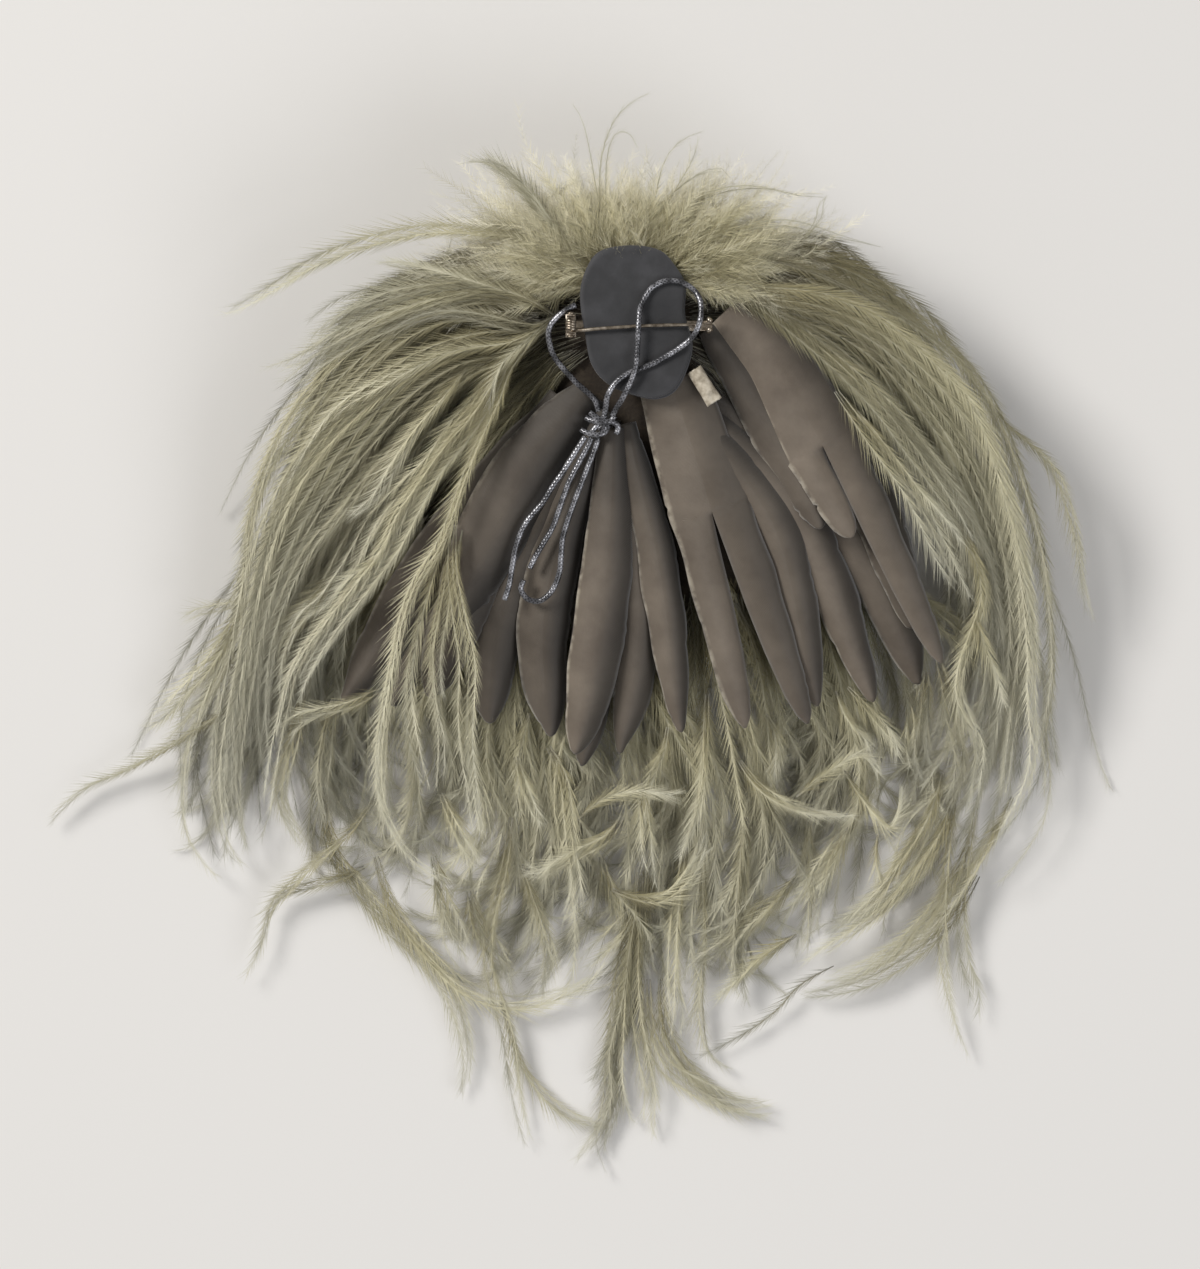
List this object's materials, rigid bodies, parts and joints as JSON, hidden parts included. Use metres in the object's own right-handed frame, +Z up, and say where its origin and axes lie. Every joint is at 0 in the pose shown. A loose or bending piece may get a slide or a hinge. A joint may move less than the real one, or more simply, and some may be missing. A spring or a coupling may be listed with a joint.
{
  "type": "feather hairpiece",
  "caption": "Feather hairpiece lying on its plumes, back up: leaf feathers and ostrich fronds fan from a suede pad with a bar pin and a knotted elastic cord.",
  "frame": {"origin": "on the table, straight below the centre of the back pad, in the flat underside of the front plume", "axes": "+Z up, from the worn side to the pin side; +Y from the pad towards the crown tuft; +X to the viewer's right when seen from the pin side"},
  "size_m": [0.2456, 0.2438, 0.0452],
  "materials": {
    "ostrich": "soft sage green ostrich fronds",
    "marabou": "short fluffy olive feathers",
    "leaf_feather": "smooth matt taupe-brown trimmed feather vanes",
    "soft_suede": "charcoal suede leather",
    "plated_wire": "dulled plated pin metal",
    "quill": "cream quill",
    "elastic_cord": "silver and black braided elastic cord"
  },
  "bodies": {
    "hairpiece": {"front_plume": "ostrich", "plume_left": "ostrich", "plume_right": "ostrich", "crown_tuft": "marabou", "leaf_01": "leaf_feather", "leaf_02": "leaf_feather", "leaf_03": "leaf_feather", "leaf_04": "leaf_feather", "leaf_05": "leaf_feather", "leaf_06": "leaf_feather", "leaf_07": "leaf_feather", "leaf_08": "leaf_feather", "leaf_09": "leaf_feather", "leaf_10": "leaf_feather", "leaf_11": "leaf_feather", "leaf_12": "leaf_feather", "leaf_13": "leaf_feather", "leaf_14": "leaf_feather", "leaf_15": "leaf_feather", "leaf_16": "leaf_feather", "leaf_17": "leaf_feather", "back_pad": "soft_suede", "pin_bar": "plated_wire", "quill_stub": "quill", "cord_strand": "elastic_cord", "cord_knot": "elastic_cord", "cord_tail_left": "elastic_cord", "cord_tail_middle": "elastic_cord", "cord_tail_right": "elastic_cord"},
    "pin_needle": {"pin_arm": "plated_wire", "cord_loop": "elastic_cord"}
  },
  "joints": [
    {"name": "pin_hinge", "type": "hinge", "parent": "hairpiece", "child": "pin_needle", "pos_m": [-0.0147, -0.0009, 0.043], "axis": [0, -1, 0], "range_deg": [0, 80]}
  ]
}
